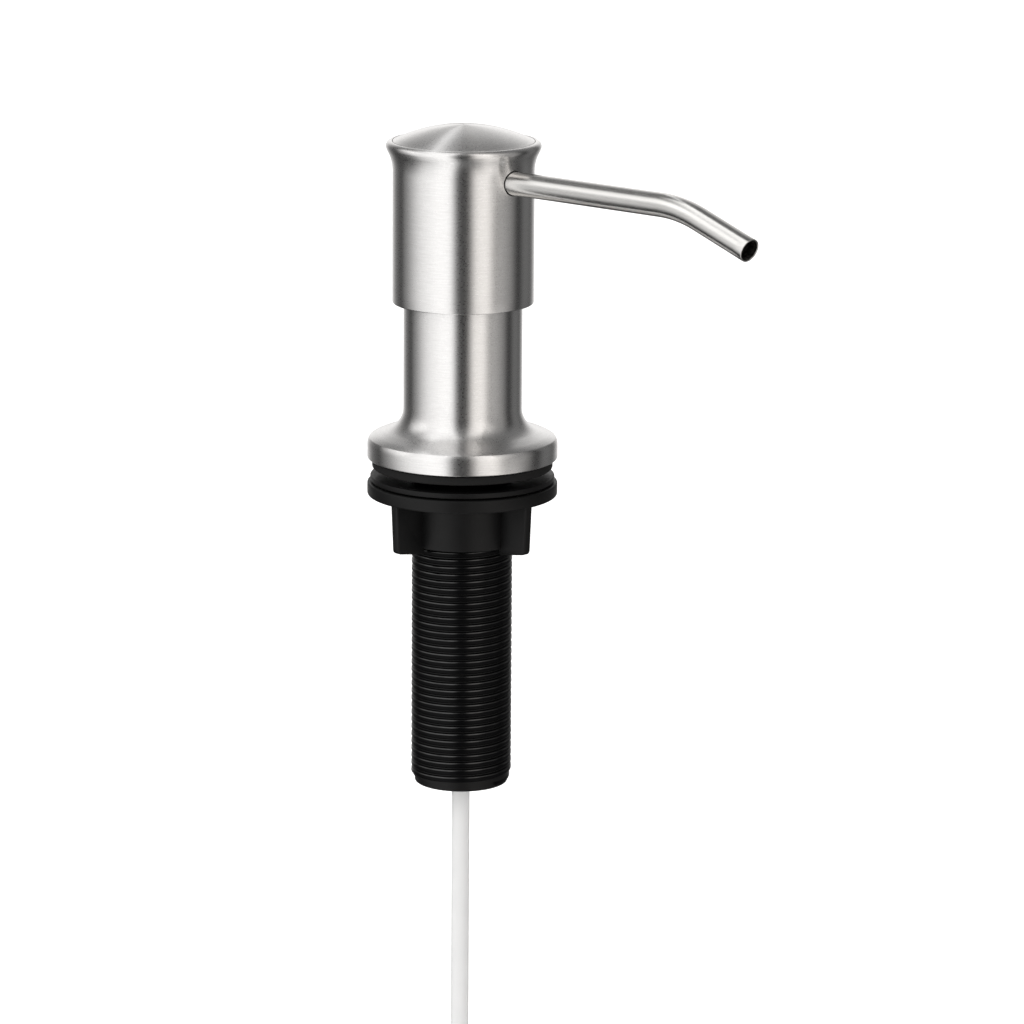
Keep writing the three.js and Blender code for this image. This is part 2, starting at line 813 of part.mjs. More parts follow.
const footEnd = new THREE.Group();
footEnd.position.set(-HANK.foldRadius, HANK_SIDE, 0);
const strainer = piece("foot_strainer", footStrainer(), WHITE_PLASTIC);
strainer.position.z = FOOT.bodyBottom + FOOT.recessDepth - GAP - STRAINER.thickness;
footEnd.add(
  piece("suction_tube_tail", tubeTail(), CLEAR_TUBE),
  piece("foot_valve_cap", footValveCap(), BLACK_PLASTIC),
  piece("foot_valve_body", footValveBody(), BLACK_PLASTIC),
  seatedBall("foot_valve_ball", FOOT.ballRadius, FOOT_SEAT_RADIUS, FOOT_SEAT_TOP),
  strainer,
);
hank.add(footEnd);
dispenser.add(hank);

export default dispenser;
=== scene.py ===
"""Deck-mounted soap pump dispenser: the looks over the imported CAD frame. Metres, +Z up."""
import math
from types import SimpleNamespace

import bmesh
import bpy
from mathutils import Matrix, Quaternion, Vector


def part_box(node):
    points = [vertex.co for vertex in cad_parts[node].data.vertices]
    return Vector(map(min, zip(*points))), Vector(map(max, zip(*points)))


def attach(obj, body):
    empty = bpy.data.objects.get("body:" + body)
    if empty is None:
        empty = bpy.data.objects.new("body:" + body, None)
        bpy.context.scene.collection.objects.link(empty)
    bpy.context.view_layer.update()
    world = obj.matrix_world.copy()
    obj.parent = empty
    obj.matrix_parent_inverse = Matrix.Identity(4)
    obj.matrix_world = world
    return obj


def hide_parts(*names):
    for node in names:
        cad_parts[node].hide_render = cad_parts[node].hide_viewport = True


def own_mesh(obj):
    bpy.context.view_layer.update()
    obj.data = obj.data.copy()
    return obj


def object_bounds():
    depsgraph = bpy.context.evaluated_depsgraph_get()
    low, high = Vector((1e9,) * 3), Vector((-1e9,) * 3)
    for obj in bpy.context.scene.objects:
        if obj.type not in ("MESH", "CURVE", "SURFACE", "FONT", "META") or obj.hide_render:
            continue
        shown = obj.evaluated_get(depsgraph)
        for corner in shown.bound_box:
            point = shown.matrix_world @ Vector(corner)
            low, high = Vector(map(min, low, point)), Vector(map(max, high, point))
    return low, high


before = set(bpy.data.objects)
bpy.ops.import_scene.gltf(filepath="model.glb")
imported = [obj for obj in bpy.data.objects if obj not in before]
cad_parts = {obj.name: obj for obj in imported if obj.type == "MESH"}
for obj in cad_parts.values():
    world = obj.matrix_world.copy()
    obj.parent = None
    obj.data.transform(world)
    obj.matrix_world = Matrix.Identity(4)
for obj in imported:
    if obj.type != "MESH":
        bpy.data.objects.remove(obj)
CAD_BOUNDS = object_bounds()

MM = 0.001
TAU = 2 * math.pi

# ---- Camera ----

VIEW_AZIMUTH = math.radians(45.0)
VIEW_ELEVATION = math.radians(13.1)
VIEW_ROLL = math.radians(0.38)  # the picture is turned a little
VIEW_DISTANCE = 1.338
VIEW_LENS = 175.8
AIM_RIGHT = 13.33 * MM  # the object stands left of the middle of the picture
AIM_HEIGHT = -12.5 * MM
SENSOR_WIDTH = 36.0

# ---- Sizes that the frame's boxes don't give, as in the CAD ----

def millimetres(**values):
    return SimpleNamespace(**{name: value * MM for name, value in values.items()})


ROUND = 192  # sides of a large turned piece
MEDIUM_ROUND = 144
SMALL_ROUND = 72
SMOOTH_ANGLE = 40  # in degrees: sharper edges stay sharp
BEVEL_STEPS = 3

# The flange's edge curves in up to a crease, and then a flatter crown runs on to the slope.
COLLAR = millimetres(bore=14.3, neck=15.8, edge_height=6.35, edge=3.3, crease=0.15, crown=11.3,
                     fillet=6.35, foot_round=0.35, neck_round=0.6, bore_round=0.3)
COLLAR_CREASE = (math.radians(32.0), math.radians(58.0))  # the normal's rise at its two sides
COLLAR_SLOPE = math.radians(18.3)
SHELL = millimetres(skirt=18.77, wall=0.85, flare_start=79.9, flare_end=85.3, flare=10.6,
                    rim_height=86.4, rim_centre=19.2, rim=1.35, seat=18.9, seat_height=84.9,
                    lip_round=0.3, turn_in=0.08)
RIM_START, RIM_END = math.radians(-27), math.radians(100)
CAP = millimetres(dome=42.8, edge=0.12, seam=0.14, plug=17.6, wall=1.2, foot_round=0.2)
SPOUT = millimetres(outer=3.15, inner=2.75, root_x=2.8, root_z=78.3, bend_start=71.5, bend=40,
                    lip=0.12, hole=3.4, hole_from=10, hole_to=26)
SPOUT_ROOT = Vector((SPOUT.root_x, 0, SPOUT.root_z))
SPOUT_RISE, SPOUT_BEND = math.radians(1.0), math.radians(19.5)
SPOUT_SIDES = 64
GASKET = millimetres(bore=13.95, edge_round=0.45, bore_round=0.2)
WASHER = millimetres(bore=13.9, edge_round=0.3, bore_round=0.15)
SHANK = millimetres(crest=13.5, end=12.55, bore=11.2, thread_bottom=-85.0, thread_top=1.5,
                    shoulder_bottom=3.0, runout=0.05, bore_round=0.35, edge_round=0.5,
                    shoulder_round=0.2, top_round=0.3)
THREAD = millimetres(pitch=2.0, depth=0.5, land=1.05, root=1.8, crest_edge=0.32, sunk=0.08,
                     root_spread=0.05)
THREAD_SIDES = 96  # steps in one turn of the thread
THREAD_RUN_OUT = 40  # steps over which the ridge rises at each end
THREAD_LOWEST = 0.05  # of the ridge's height, at its very ends
THREAD_WORN = (-0.12, -0.08, 0.02, 0.06)  # of a pitch, from the crest's upper edge
NUT = millimetres(flange_bottom=-7.35, bottom=-20.0, bore=13.85, barrel=16.0, fin_inside=15.0,
                  fin_root=-21.5, fin_tip=-20.3, fin_top_reach=25.3, fin_bottom_reach=24.6,
                  fin_half=1.2, fin_corner=1.3, fin_sunk=0.7, fin_bevel=0.35, bore_round=0.3,
                  edge_round=0.5, root_round=0.6)
NUT_SMOOTH_ANGLE = 38
FINS = 4
FOOT = millimetres(boss=4.4, boss_height=1.6, socket=2.55, socket_depth=4.2, channel=1.7,
                   chamber=3.0, seat=1.4, seat_top=5.3, cone_top=3.7, recess=8.6, recess_depth=1.8,
                   waist=0.45, skirt=2.6, skirt_fall=0.4, band=0.5, band_fall=0.4, large_round=0.9,
                   boss_round=0.5, small_round=0.3, fine_round=0.25, edge_round=0.2)
SPRING = millimetres(coil=4.5, wire=0.45, closed_rise=0.945)  # closed_rise is of an end turn
SPRING_TURNS = 8
SPRING_STEPS = 40  # in one turn
SPRING_SIDES = 12

TUBE_RADIUS = 2.4 * MM
TUBE_ROUTE = [  # [sideways, height], as in the CAD
    (0, -2.7), (0, -14), (-0.4, -35), (-2.1, -60), (-4.9, -87), (-7.9, -115), (-10.1, -142),
]
HANK_TURN = math.radians(45)
HANK_FOLD_RADIUS = 14.4 * MM
HANK_STRAIGHT = 67.0 * MM
HANK_TOP = -168.0 * MM
HANK_TURNS = 4
HANK_PITCH = 4.95 * MM
HANK_LEAD_OFFSET = 1.9 * MM
HANK_SIDE = (HANK_LEAD_OFFSET + HANK_TURNS * HANK_PITCH) / 2
HANK_UPPER = HANK_TOP - HANK_FOLD_RADIUS - TUBE_RADIUS
HANK_LOWER = HANK_UPPER - HANK_STRAIGHT
LEAD_BEND_RADIUS = 20.0 * MM
LEAD_STEPS = 14
TAIL_STEPS = 8
STEP = 2.4 * MM  # between points of the wound tube

TIE = millimetres(thick=0.9, clear=0.35, half_width=2.3, corner=2.3, edge_round=0.25)
TIE_CORNER_STEPS = 10
TIE_HEAD = millimetres(along=3.4, deep=2.6, high=6.0, bevel=0.4, shift=0.3, stands_off=0.6)
TIE_END = millimetres(along=7.5, deep=0.9, high=4.4, bevel=0.25, shift=5.4, stands_off=1.2)
TIE_END_LEAN = math.radians(-14)

FLOOR_HALF_SIZE = 9.0
FLOOR_DROP = 12 * MM  # below the lowest piece
FLOOR_GLOW = 0.72
LAMP_SIZE = (1.4, 1.0)
LAMP_POWER = 9.0
LAMP_DISTANCE = 1.9
LAMP_AZIMUTH = math.radians(-35)  # from the camera's side
LAMP_ELEVATION = math.radians(58)


# ---- Camera, floor and light ----

def view_direction(azimuth, elevation):
    """From the object to a viewer at that azimuth and elevation."""
    flat = math.cos(elevation)
    return Vector((math.sin(azimuth) * flat, -math.cos(azimuth) * flat, math.sin(elevation)))


def make_camera():
    data = bpy.data.cameras.new("camera")
    data.lens = VIEW_LENS
    data.sensor_width = SENSOR_WIDTH
    data.clip_end = 50.0
    camera = bpy.data.objects.new("camera", data)
    bpy.context.scene.collection.objects.link(camera)
    right = Vector((math.cos(VIEW_AZIMUTH), math.sin(VIEW_AZIMUTH), 0))
    aim = right * AIM_RIGHT + Vector((0, 0, AIM_HEIGHT))
    away = view_direction(VIEW_AZIMUTH, VIEW_ELEVATION)
    camera.location = aim + away * VIEW_DISTANCE
    upright = (-away).to_track_quat("-Z", "Y")
    camera.rotation_euler = (upright @ Quaternion((0, 0, 1), VIEW_ROLL)).to_euler()
    bpy.context.scene.camera = camera


class Nodes:
    """A node tree with short calls for the nodes that the materials and the world use."""

    def __init__(self, tree):
        self.tree = tree
        tree.nodes.clear()

    def add(self, kind, **settings):
        node = self.tree.nodes.new(kind)
        for name, value in settings.items():
            setattr(node, name, value)
        return node

    def link(self, source, target):
        self.tree.links.new(source, target)

    def feed(self, socket, value):
        if isinstance(value, bpy.types.NodeSocket):
            self.link(value, socket)
        else:
            socket.default_value = value

    def math(self, operation, a, b=0.0):
        node = self.add("ShaderNodeMath", operation=operation)
        self.feed(node.inputs[0], a)
        self.feed(node.inputs[1], b)
        return node.outputs[0]

    def map_range(self, value, low, high, out_low, out_high, smooth=True):
        node = self.add("ShaderNodeMapRange")
        node.interpolation_type = "SMOOTHSTEP" if smooth else "LINEAR"
        self.feed(node.inputs["Value"], value)
        node.inputs["From Min"].default_value = low
        node.inputs["From Max"].default_value = high
        node.inputs["To Min"].default_value = out_low
        node.inputs["To Max"].default_value = out_high
        return node.outputs["Result"]

    def hump(self, value, rise_from, rise_to, fall_from, fall_to, strength=1.0):
        """Zero up to the first value, the strength from the second to the third, then zero."""
        rise = self.map_range(value, rise_from, rise_to, 0.0, strength)
        return self.math("MULTIPLY", rise, self.map_range(value, fall_from, fall_to, 1.0, 0.0))

    def combine(self, x, y, z):
        node = self.add("ShaderNodeCombineXYZ")
        for socket, value in zip(node.inputs, (x, y, z)):
            self.feed(socket, value)
        return node.outputs[0]

    def separate(self, vector):
        node = self.add("ShaderNodeSeparateXYZ")
        self.link(vector, node.inputs[0])
        return node.outputs

    def noise(self, vector, scale, detail=2.0, roughness=0.5, w=None):
        node = self.add("ShaderNodeTexNoise", noise_dimensions="3D" if w is None else "4D")
        self.link(vector, node.inputs["Vector"])
        if w is not None:
            self.feed(node.inputs["W"], w)
        node.inputs["Scale"].default_value = scale
        node.inputs["Detail"].default_value = detail
        node.inputs["Roughness"].default_value = roughness
        return node.outputs["Fac"]

    def mix_color(self, factor, a, b):
        node = self.add("ShaderNodeMix", data_type="RGBA")
        self.feed(node.inputs["Factor"], factor)
        self.feed(node.inputs["A"], a)
        self.feed(node.inputs["B"], b)
        return node.outputs["Result"]

    def bump(self, height, strength, distance, normal=None):
        node = self.add("ShaderNodeBump")
        node.inputs["Strength"].default_value = strength
        node.inputs["Distance"].default_value = distance
        self.link(height, node.inputs["Height"])
        if normal is not None:
            self.link(normal, node.inputs["Normal"])
        return node.outputs["Normal"]


# Each studio light covers a range of directions round the object, in degrees. Round the object
# from the camera's side, left negative, it rises from the first angle to the second and falls
# from the third to the fourth; upwards it does the same. Then its strength and its warmth.
STUDIO_LIGHTS = [
    ("left softbox", (-62, -40, -24, -7), (-89, -66, 46, 62), 1.36, 0.2),
    ("left side light", (-116, -54, -62, -40), (-36, -8, 46, 62), 1.24, 0.2),
    ("left low light", (-102, -66, -62, -40), (-89, -70, -36, -8), 1.0, 0.2),
    ("left top softbox", (-148, -120, -22, -8), (46, 62, 90, 91), 1.2, 0.2),
    ("left fill", (-119, -110, -92, -60), (-36, -8, 30, 60), 0.16, 0.2),
    ("left high softbox", (-126, -110, -88, -64), (4, 24, 34, 48), 0.8, 0.3),
    ("right softbox", (6, 25, 34, 62), (-62, -26, 60, 88), 1.16, 1.0),
    ("right high softbox", (30, 40, 55, 75), (0, 20, 50, 70), 0.5, 1.0),
    ("right low light", (34, 48, 70, 88), (-84, -60, -32, -14), 0.8, 1.0),
    ("right fill", (50, 64, 80, 102), (-60, -30, 30, 60), 0.3, 0.6),
    ("spill on the right", (102, 118, 128, 150), (-60, -30, 30, 60), 0.14, 0.2),
    ("backdrop on the left", (-218, -182, -178, -136), (-36, -8, 10, 48), 1.0, 0.3),
    ("spill on the left", (-200, -156, -144, -112), (-36, -8, 12, 56), 0.16, 0.3),
    ("backdrop on the right", (136, 178, 182, 218), (-36, -8, 18, 58), 1.1, 0.3),
]
STUDIO_AMBIENT = 0.03
STUDIO_CEILING = 0.145
STUDIO_CEILING_FADE = (15.0, 50.0)
STUDIO_FLOOR = 0.15
STUDIO_FLOOR_FADE = (-70.0, -40.0)
# A long narrow lamp hangs over the object, behind it on the left. Its length points this way from
# the camera's side, and it lies to the left of the plane over the object, as a sine.
STRIP_AZIMUTH = math.radians(-24)
STRIP_OFFSET = 0.39
STRIP_HALF_WIDTH = 0.035
STRIP_STRENGTH = 1.0
STRIP_ROUND = (-205, -180, -125, -105)
STRIP_UPWARDS = (20, 36, 66, 72)
WARM_LOSS = (0.0, 0.035, 0.07)  # of red, green and blue in a light of full warmth


def make_world():
    """A white studio: tall softboxes left and right of the camera, dark gaps, a white backdrop."""
    world = bpy.data.worlds.new("studio")
    bpy.context.scene.world = world
    world.use_nodes = True
    n = Nodes(world.node_tree)
    x, y, z = n.separate(n.add("ShaderNodeTexCoord").outputs["Generated"])
    angle = n.math("ARCTAN2", x, n.math("MULTIPLY", y, -1.0))
    from_camera = n.math("SUBTRACT", n.math("DEGREES", angle), math.degrees(VIEW_AZIMUTH))
    azimuth = n.math("WRAP", from_camera, 180.0)
    azimuth.node.inputs[2].default_value = -180.0
    elevation = n.math("DEGREES", n.math("ARCSINE", z))
    total = n.map_range(elevation, *STUDIO_CEILING_FADE, STUDIO_AMBIENT, STUDIO_CEILING)
    total = n.math("ADD", total, n.map_range(elevation, *STUDIO_FLOOR_FADE, STUDIO_FLOOR, 0.0))
    warm = 0.0
    for _, round_it, upwards, strength, warmth in STUDIO_LIGHTS:
        lit = n.math("MULTIPLY", n.hump(azimuth, *round_it, strength), n.hump(elevation, *upwards))
        total = n.math("ADD", total, lit)
        warm = n.math("ADD", n.math("MULTIPLY", lit, warmth), warm)
    across = VIEW_AZIMUTH + STRIP_AZIMUTH + math.pi / 2
    sideways = n.math("ADD", n.math("MULTIPLY", x, math.sin(across)),
                      n.math("MULTIPLY", y, -math.cos(across)))
    beside = n.math("ABSOLUTE", n.math("ADD", sideways, STRIP_OFFSET))
    strip = n.map_range(beside, STRIP_HALF_WIDTH / 2, STRIP_HALF_WIDTH * 1.5, STRIP_STRENGTH, 0.0)
    for angle, hump in ((azimuth, STRIP_ROUND), (elevation, STRIP_UPWARDS)):
        strip = n.math("MULTIPLY", strip, n.hump(angle, *hump))
    total = n.math("ADD", total, strip)
    seen = n.add("ShaderNodeLightPath").outputs["Is Camera Ray"]
    channels = [n.math("SUBTRACT", total, n.math("MULTIPLY", warm, loss)) for loss in WARM_LOSS]
    color = n.combine(*[n.math("MAXIMUM", channel, seen) for channel in channels])
    background = n.add("ShaderNodeBackground")
    n.link(color, background.inputs["Color"])
    output = n.add("ShaderNodeOutputWorld")
    n.link(background.outputs[0], output.inputs["Surface"])


def make_floor():
    """A pale floor that glows a little, so it stays as light as the backdrop."""
    height = CAD_BOUNDS[0][2] - FLOOR_DROP
    bm = bmesh.new()
    bmesh.ops.create_grid(bm, x_segments=2, y_segments=2, size=FLOOR_HALF_SIZE)
    bmesh.ops.translate(bm, verts=bm.verts, vec=(0, 0, height))
    floor = object_from(bm, "floor")
    floor.visible_glossy = False
    material = bpy.data.materials.new("pale_floor")
    material.use_nodes = True
    shader = material.node_tree.nodes["Principled BSDF"]
    shader.inputs["Base Color"].default_value = (0.9, 0.9, 0.9, 1.0)
    shader.inputs["Roughness"].default_value = 0.9
    shader.inputs["Emission Color"].default_value = (1.0, 1.0, 1.0, 1.0)
    shader.inputs["Emission Strength"].default_value = FLOOR_GLOW
    floor.data.materials.append(material)


def make_lamp():
    """A broad soft light over the object, for the plastic and the floor."""
    data = bpy.data.lights.new("overhead_softbox", "AREA")
    data.shape = "RECTANGLE"
    data.size, data.size_y = LAMP_SIZE
    data.energy = LAMP_POWER
    lamp = bpy.data.objects.new("overhead_softbox", data)
    bpy.context.scene.collection.objects.link(lamp)
    away = view_direction(VIEW_AZIMUTH + LAMP_AZIMUTH, LAMP_ELEVATION)
    lamp.location = away * LAMP_DISTANCE
    lamp.rotation_euler = (-away).to_track_quat("-Z", "Y").to_euler()
    lamp.visible_camera = False
    lamp.visible_glossy = False


# ---- Mesh helpers ----

def object_from(bm, name, smooth_angle=None):
    """An object with the finished mesh, shaded smooth where an angle is given."""
    mesh = bpy.data.meshes.new(name)
    if smooth_angle is not None:
        soften(bm, smooth_angle)
    bm.to_mesh(mesh)
    bm.free()
    obj = bpy.data.objects.new(name, mesh)
    bpy.context.scene.collection.objects.link(obj)
    return obj


def soften(bm, degrees):
    """Smooth faces, with the edges sharper than this angle kept sharp."""
    for face in bm.faces:
        face.smooth = True
    for edge in bm.edges:
        edge.smooth = len(edge.link_faces) == 2 and edge.calc_face_angle(0) < math.radians(degrees)


def rounded(corners, steps=5):
    """An outline of (radius, height, rounding) corners with each rounding drawn as an arc."""
    points = []
    count = len(corners)
    for i, (r, z, rounding) in enumerate(corners):
        here = Vector((r, z))
        if rounding == 0:
            points.append(here)
            continue
        to_last = (Vector(corners[i - 1][:2]) - here).normalized()
        to_next = (Vector(corners[(i + 1) % count][:2]) - here).normalized()
        half = to_last.angle(to_next) / 2
        cut = rounding / math.tan(half)
        centre = here + (to_last + to_next).normalized() * rounding / math.sin(half)
        start = here + to_last * cut - centre
        turn = start.angle_signed(here + to_next * cut - centre)
        for k in range(steps + 1):
            points.append(centre + Matrix.Rotation(-turn * k / steps, 2) @ start)
    return points


def arc(r, z, size, start, end, steps):
    """Points on an arc about (r, z), for an outline."""
    return [
        Vector((r + size * math.cos(a), z + size * math.sin(a)))
        for a in (start + (end - start) * k / steps for k in range(steps + 1))
    ]


def arc_on(last, size, start, end, steps):
    """An arc that goes on from the last point of an outline, without that point."""
    r = last.x - size * math.cos(start)
    z = last.y - size * math.sin(start)
    return arc(r, z, size, start, end, steps)[1:]


def turned(name, outline, sides=ROUND, centre=(0, 0)):
    """A turned piece about Z. The outline is closed, or starts and ends on the axis."""
    bm = bmesh.new()
    on_axis = abs(outline[0][0]) < 1e-9
    rings = []
    for r, z in outline:
        if abs(r) < 1e-9:
            rings.append([bm.verts.new((centre[0], centre[1], z))] * sides)
            continue
        rings.append([
            bm.verts.new((centre[0] + r * math.cos(a), centre[1] + r * math.sin(a), z))
            for a in (TAU * i / sides for i in range(sides))
        ])
    skin_rings(bm, rings, closed=not on_axis)
    return object_from(bm, name, SMOOTH_ANGLE)


def skin_rings(bm, rings, closed):
    """Faces between each ring and the next, and from the last to the first when closed."""
    sides = len(rings[0])
    pairs = list(zip(rings, rings[1:])) + ([(rings[-1], rings[0])] if closed else [])
    for low, high in pairs:
        for i in range(sides):
            j = (i + 1) % sides
            corners = [low[i], low[j], high[j], high[i]]
            unique = list(dict.fromkeys(corners))
            if len(unique) > 2:
                bm.faces.new(unique)
    bmesh.ops.recalc_face_normals(bm, faces=bm.faces)


def close_ends(bm, rings):
    """Faces over the first and the last ring."""
    bm.faces.new(rings[0][::-1])
    bm.faces.new(rings[-1])
    bmesh.ops.recalc_face_normals(bm, faces=bm.faces)


def combine_with(target, other, operation):
    """Cuts the other object from the target, or joins it, and removes the other."""
    modifier = target.modifiers.new("boolean", "BOOLEAN")
    modifier.operation = operation
    modifier.solver = "EXACT"
    modifier.object = other
    bpy.context.view_layer.update()
    evaluated = target.evaluated_get(bpy.context.evaluated_depsgraph_get())
    mesh = bpy.data.meshes.new_from_object(evaluated)
    target.modifiers.remove(modifier)
    old = target.data
    target.data = mesh
    mesh.name = target.name
    bpy.data.meshes.remove(old)
    bpy.data.objects.remove(other)


def soften_object(obj, degrees):
    bm = bmesh.new()
    bm.from_mesh(obj.data)
    soften(bm, degrees)
    bm.to_mesh(obj.data)
    bm.free()


def radius_of(node):
    low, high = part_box(node)
    return (high.x - low.x) / 2


def heights_of(node):
    low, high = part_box(node)
    return low.z, high.z


def show(obj, material, body, slot, *replaced):
    """Gives a piece its material and its body, and hides the CAD nodes that it stands for."""
    if not obj.data.materials:
        obj.data.materials.append(material)
    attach(obj, body)
    if replaced:
        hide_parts(*replaced)


# ---- Materials ----

def new_material(name):
    material = bpy.data.materials.new(name)
    material.use_nodes = True
    n = Nodes(material.node_tree)
    shader = n.add("ShaderNodeBsdfPrincipled")
    output = n.add("ShaderNodeOutputMaterial")
    n.link(shader.outputs[0], output.inputs["Surface"])
    return material, n, shader


def turning_coordinates(n):
    """Height, distance from the axis, and the unit direction from the axis."""
    x, y, z = n.separate(n.add("ShaderNodeTexCoord").outputs["Object"])
    squares = n.math("ADD", n.math("MULTIPLY", x, x), n.math("MULTIPLY", y, y))
    radius = n.math("MAXIMUM", n.math("SQRT", squares), 0.1 * MM)
    return z, radius, n.math("DIVIDE", x, radius), n.math("DIVIDE", y, radius)


def brushed_steel():
    """Stainless steel with fine turning lines round the Z axis."""
    material, n, shader = new_material("brushed_steel")
    z, radius, cosine, sine = turning_coordinates(n)

    def lines(around, finest, detail, roughness):
        """Noise stretched round the axis. The two scales are round a turn and across the lines."""
        directions = [n.math("MULTIPLY", c, around) for c in (cosine, sine)]
        vector = n.combine(*directions, n.math("MULTIPLY", z, finest))
        return n.noise(vector, 1.0, detail, roughness, w=n.math("MULTIPLY", radius, finest))

    streaks = lines(5.0, 5200.0, 3.0, 0.6)
    grain = lines(34.0, 2600.0, 2.0, 0.7)
    tone = n.map_range(streaks, 0.3, 0.7, 0.0, 1.0, smooth=False)
    color = n.mix_color(tone, (0.70, 0.692, 0.687, 1), (0.785, 0.780, 0.775, 1))
    n.link(color, shader.inputs["Base Color"])
    rough = n.map_range(grain, 0.3, 0.7, 0.25, 0.36, smooth=False)
    n.link(rough, shader.inputs["Roughness"])
    shader.inputs["Metallic"].default_value = 1.0
    shader.inputs["Anisotropic"].default_value = 0.85
    shader.inputs["Anisotropic Rotation"].default_value = 0.25
    tangent = n.add("ShaderNodeTangent", direction_type="RADIAL", axis="Z")
    n.link(tangent.outputs[0], shader.inputs["Tangent"])
    rings = n.bump(streaks, 0.35, 0.004 * MM)
    n.link(n.bump(grain, 0.2, 0.005 * MM, rings), shader.inputs["Normal"])
    return material


def spout_steel():
    """The same steel drawn into a tube: smoother, with faint lengthwise lines."""
    material, n, shader = new_material("spout_steel")
    x, y, z = n.separate(n.add("ShaderNodeTexCoord").outputs["Object"])
    vector = n.combine(n.math("MULTIPLY", x, 260.0), n.math("MULTIPLY", y, 3200.0),
                       n.math("MULTIPLY", z, 3200.0))
    streaks = n.noise(vector, 1.0, 3.0, 0.6)
    color = n.mix_color(streaks, (0.66, 0.65, 0.635, 1), (0.80, 0.795, 0.78, 1))
    n.link(color, shader.inputs["Base Color"])
    n.link(n.map_range(streaks, 0.3, 0.7, 0.18, 0.26, smooth=False), shader.inputs["Roughness"])
    shader.inputs["Metallic"].default_value = 1.0
    n.link(n.bump(streaks, 0.3, 0.006 * MM), shader.inputs["Normal"])
    return material


def bore_painted_shade():
    """The inside of the spout, painted nearly black as painted shade for the shade that falls deep
    in the bore.
    """
    material, n, shader = new_material("bore_painted_shade")
    coordinates = n.add("ShaderNodeTexCoord").outputs["Object"]
    bore_shade_noise = n.noise(coordinates, 900.0, 3.0)
    # painted shade: a near-black colour with faint noise stands in for the dark inside of the bore
    color = n.mix_color(bore_shade_noise, (0.004, 0.004, 0.004, 1), (0.012, 0.011, 0.01, 1))
    n.link(color, shader.inputs["Base Color"])
    n.link(n.map_range(bore_shade_noise, 0.3, 0.7, 0.5, 0.7), shader.inputs["Roughness"])
    return material


def moulded(name, dark, light, rough_low, rough_high, grain_scale, bump_distance, specular=0.5):
    """Moulded plastic or rubber: a fine grain, faint mottling and uneven gloss."""
    material, n, shader = new_material(name)
    shader.inputs["Specular IOR Level"].default_value = specular
    coordinates = n.add("ShaderNodeTexCoord").outputs["Object"]
    mottle = n.noise(coordinates, 160.0, 3.0)
    grain = n.noise(coordinates, grain_scale, 2.0, 0.6)
    n.link(n.mix_color(mottle, (*dark, 1), (*light, 1)), shader.inputs["Base Color"])
    rough = n.map_range(n.math("ADD", mottle, grain), 0.6, 1.4, rough_low, rough_high)
    n.link(rough, shader.inputs["Roughness"])
    n.link(n.bump(grain, 0.35, bump_distance), shader.inputs["Normal"])
    return material, n, shader


def thread_plastic():
    """The shank's plastic, its crests burnished along their upper edges by the nut."""
    material, n, shader = moulded("thread_plastic", (0.0012, 0.0012, 0.0014),
                                  (0.0022, 0.0022, 0.0025), 0.26, 0.36, 2600.0, 0.003 * MM, 0.06)
    x, y, z = n.separate(n.add("ShaderNodeTexCoord").outputs["Object"])
    turns = n.math("DIVIDE", n.math("ARCTAN2", y, x), TAU)
    pitches = n.math("DIVIDE", n.math("SUBTRACT", z, SHANK.thread_bottom), THREAD.pitch)
    phase = n.math("FRACT", n.math("SUBTRACT", pitches, turns))
    edge = THREAD.land / 2 / THREAD.pitch
    worn = n.hump(phase, *[edge + away for away in THREAD_WORN])
    patches = n.noise(n.combine(x, y, z), 300.0, 2.0)
    n.link(n.math("MULTIPLY", worn, n.map_range(patches, 0.25, 0.6, 0.6, 1.0)),
           shader.inputs["Coat Weight"])
    shader.inputs["Coat Roughness"].default_value = 0.14
    shader.inputs["Coat IOR"].default_value = 1.65
    return material


def clear_tube():
    """Milky polyethylene: light passes through it, softly."""
    material, n, shader = new_material("clear_tube")
    coordinates = n.add("ShaderNodeTexCoord").outputs["Object"]
    haze = n.noise(coordinates, 140.0, 3.0)
    n.link(n.mix_color(haze, (0.72, 0.723, 0.723, 1), (0.78, 0.78, 0.778, 1)),
           shader.inputs["Base Color"])
    n.link(n.map_range(haze, 0.3, 0.7, 0.3, 0.4), shader.inputs["Roughness"])
    shader.inputs["Transmission Weight"].default_value = 0.22
    shader.inputs["IOR"].default_value = 1.3
    n.link(n.bump(n.noise(coordinates, 900.0, 2.0), 0.1, 0.01 * MM), shader.inputs["Normal"])
    return material


# ---- The suction tube ----

def centripetal(points, steps=6):
    """A centripetal Catmull-Rom curve through the points."""
    first = points[0] * 2 - points[1]
    last = points[-1] * 2 - points[-2]
    padded = [first, *points, last]
    curve = []
    for p0, p1, p2, p3 in zip(padded, padded[1:], padded[2:], padded[3:]):
        t1 = math.sqrt((p1 - p0).length)
        t2 = t1 + math.sqrt((p2 - p1).length)
        t3 = t2 + math.sqrt((p3 - p2).length)
        for k in range(steps):
            t = t1 + (t2 - t1) * k / steps
            a1 = p0.lerp(p1, t / t1)
            a2 = p1.lerp(p2, (t - t1) / (t2 - t1))
            a3 = p2.lerp(p3, (t - t2) / (t3 - t2))
            b1 = a1.lerp(a2, t / t2)
            b2 = a2.lerp(a3, (t - t1) / (t3 - t1))
            curve.append(b1.lerp(b2, (t - t1) / (t2 - t1)))
    return [*curve, points[-1]]


